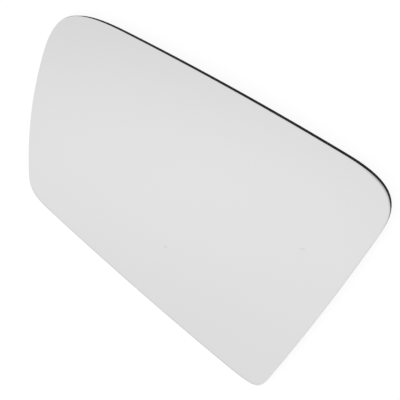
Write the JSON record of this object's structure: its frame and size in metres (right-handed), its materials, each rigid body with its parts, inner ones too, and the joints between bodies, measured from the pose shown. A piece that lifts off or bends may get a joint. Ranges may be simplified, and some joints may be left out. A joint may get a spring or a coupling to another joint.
{
  "type": "car door mirror glass",
  "caption": "Domed pane of mirror glass for a car door mirror, with four bowed edges, rounded corners and a ground, seamed rim.",
  "frame": {"origin": "middle of the outline's length and height, level with the lowest points of the back edge, on which the pane rests", "axes": "+X along the bottom edge towards the outboard end, +Y towards the top edge, +Z out of the mirrored face"},
  "size_m": [0.1498, 0.1012, 0.0054],
  "materials": {
    "mirror": "polished mirror face, ground dark rim with a frosted front seam, dark grey painted back"
  },
  "bodies": {
    "root": {"mirror_glass": "mirror"}
  },
  "joints": []
}
